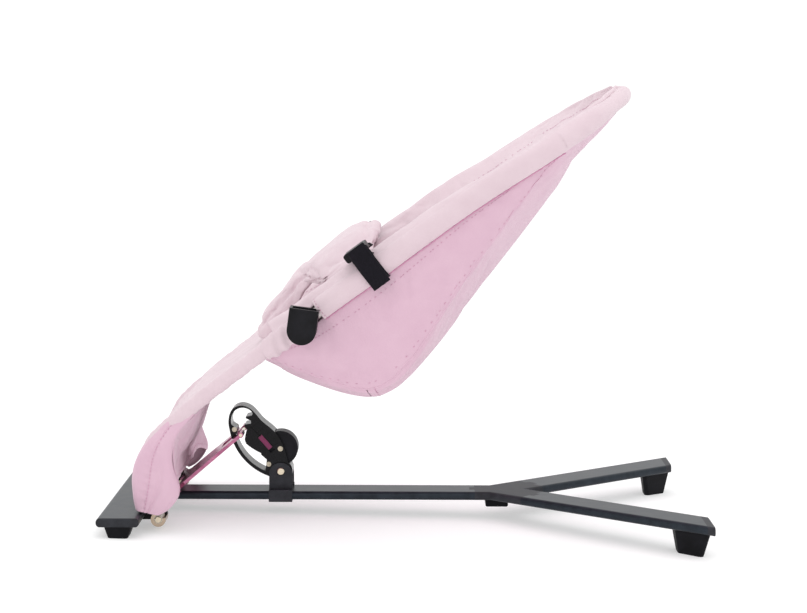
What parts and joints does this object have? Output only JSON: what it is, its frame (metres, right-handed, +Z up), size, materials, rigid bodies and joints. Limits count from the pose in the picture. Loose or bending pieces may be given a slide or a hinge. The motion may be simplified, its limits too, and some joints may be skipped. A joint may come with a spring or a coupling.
{
  "type": "bouncer seat",
  "caption": "Low fabric sling seat for a baby on a tubular hoop that springs on a hinged plate over a flat Y-shaped base, with an adjusting lever and a buckled lap panel.",
  "frame": {"origin": "on the floor, under the middle of the whole seat's bounding box", "axes": "+X from the sitter's feet to the head end, +Y to the sitter's right, +Z up"},
  "size_m": [0.7099, 0.4578, 0.538],
  "materials": {
    "anodised_bar": "satin slate black anodised",
    "steel_tube": "semi-gloss powder coat",
    "strut_plate": "polished mauve with a warm edge",
    "bright_steel": "polished",
    "screw_steel": "bright zinc",
    "hub_plastic": "fine matte slate",
    "black_plastic": "glossy black",
    "satin_plastic": "satin black",
    "foot_rubber": "matte",
    "bush_plastic": "natural acetal",
    "latch_magenta": "deep magenta",
    "drum_grey": "satin grey",
    "pink_fabric": "fine plain weave cotton, lightly quilted",
    "webbing_black": "woven polypropylene webbing"
  },
  "bodies": {
    "base": {"front_crossbar": "anodised_bar", "crossbar_caps": "hub_plastic", "center_beam": "anodised_bar", "beam_socket": "hub_plastic", "y_hub": "hub_plastic", "hub_pad": "foot_rubber", "rear_leg_left": "anodised_bar", "rear_leg_right": "anodised_bar", "rear_leg_caps": "hub_plastic", "front_feet": "foot_rubber", "rear_feet": "foot_rubber", "base_screws": "screw_steel", "lever_bracket": "hub_plastic", "pivot_pin": "bright_steel", "hinge_bracket_left": "satin_plastic", "hinge_bracket_right": "satin_plastic", "hinge_pins": "bright_steel"},
    "strut": {"spring_strut": "strut_plate", "strut_cross_pin": "bright_steel", "hinge_bushes": "bush_plastic"},
    "lever": {"lever_shell_left": "black_plastic", "lever_shell_right": "black_plastic", "lever_screws": "screw_steel", "drum_axle": "screw_steel", "latch_spring": "screw_steel"},
    "drum": {"release_drum": "drum_grey"},
    "latch": {"latch_slider": "latch_magenta"},
    "seat": {"leg_tube_left": "steel_tube", "leg_tube_right": "steel_tube", "seat_hoop": "steel_tube", "tube_connector_left": "satin_plastic", "tube_connector_right": "satin_plastic", "toy_socket_left": "satin_plastic", "toy_socket_right": "satin_plastic", "socket_screws": "screw_steel", "seat_knuckle_left": "satin_plastic", "seat_knuckle_right": "satin_plastic", "knuckle_rivets": "screw_steel", "side_sleeve_left": "pink_fabric", "side_sleeve_right": "pink_fabric", "head_sleeve": "pink_fabric", "leg_sleeve_left": "pink_fabric", "leg_sleeve_right": "pink_fabric", "foot_cover": "pink_fabric", "leg_panel": "pink_fabric", "pocket_base": "pink_fabric", "back_panel": "pink_fabric", "side_panel_left": "pink_fabric", "side_panel_right": "pink_fabric", "restraint_panel": "pink_fabric", "webbing_loop_left": "webbing_black", "webbing_loop_right": "webbing_black", "buckle_left": "satin_plastic", "buckle_right": "satin_plastic", "buckle_plug_left": "satin_plastic", "buckle_plug_right": "satin_plastic"},
    "front_tab_l": {"front_tab_left": "satin_plastic"},
    "rear_tab_l": {"rear_tab_left": "satin_plastic"},
    "front_tab_r": {"front_tab_right": "satin_plastic"},
    "rear_tab_r": {"rear_tab_right": "satin_plastic"}
  },
  "joints": [
    {"name": "seat_recline", "type": "hinge", "parent": "base", "child": "strut", "pos_m": [-0.28898, 0, 0.01347], "axis": [0, 1, 0], "range_deg": [-5, 10]},
    {"name": "lever_tilt", "type": "hinge", "parent": "base", "child": "lever", "pos_m": [-0.15286, 0, 0.05238], "axis": [0, 1, 0], "range_deg": [-9, 17]},
    {"name": "seat_bounce", "type": "hinge", "parent": "strut", "child": "seat", "pos_m": [-0.28898, 0, 0.01347], "axis": [0, 1, 0], "range_deg": [-1.5, 4], "stiffness_Nm_per_rad": 60, "springref_deg": -4.01},
    {"name": "drum_turn", "type": "hinge", "parent": "lever", "child": "drum", "pos_m": [-0.15406, 0, 0.08038], "axis": [0, 1, 0], "range_deg": [0, 25], "stiffness_Nm_per_rad": 0.3, "springref_deg": -5.73},
    {"name": "latch_slide", "type": "slide", "parent": "lever", "child": "latch", "axis": [0.673, 0, -0.7396], "range_m": [0, 0.004]},
    {"name": "front_squeeze_left", "type": "slide", "parent": "seat", "child": "front_tab_l", "axis": [0.7869, -0.063, 0.6138], "range_m": [0, 0.0025], "stiffness_N_per_m": 900, "springref_m": -0.0012},
    {"name": "front_squeeze_right", "type": "slide", "parent": "seat", "child": "front_tab_r", "axis": [0.7869, 0.063, 0.6138], "range_m": [0, 0.0025], "stiffness_N_per_m": 900, "springref_m": -0.0012},
    {"name": "rear_squeeze_left", "type": "slide", "parent": "seat", "child": "rear_tab_l", "axis": [-0.7869, 0.063, -0.6138], "range_m": [0, 0.0025], "stiffness_N_per_m": 900, "springref_m": -0.0012},
    {"name": "rear_squeeze_right", "type": "slide", "parent": "seat", "child": "rear_tab_r", "axis": [-0.7869, -0.063, -0.6138], "range_m": [0, 0.0025], "stiffness_N_per_m": 900, "springref_m": -0.0012}
  ],
  "couplings": [
    {"joint": "lever_tilt", "follows": "seat_recline", "ratio": 1.6},
    {"joint": "latch_slide", "follows": "drum_turn", "m_per_rad": 0.009121}
  ]
}
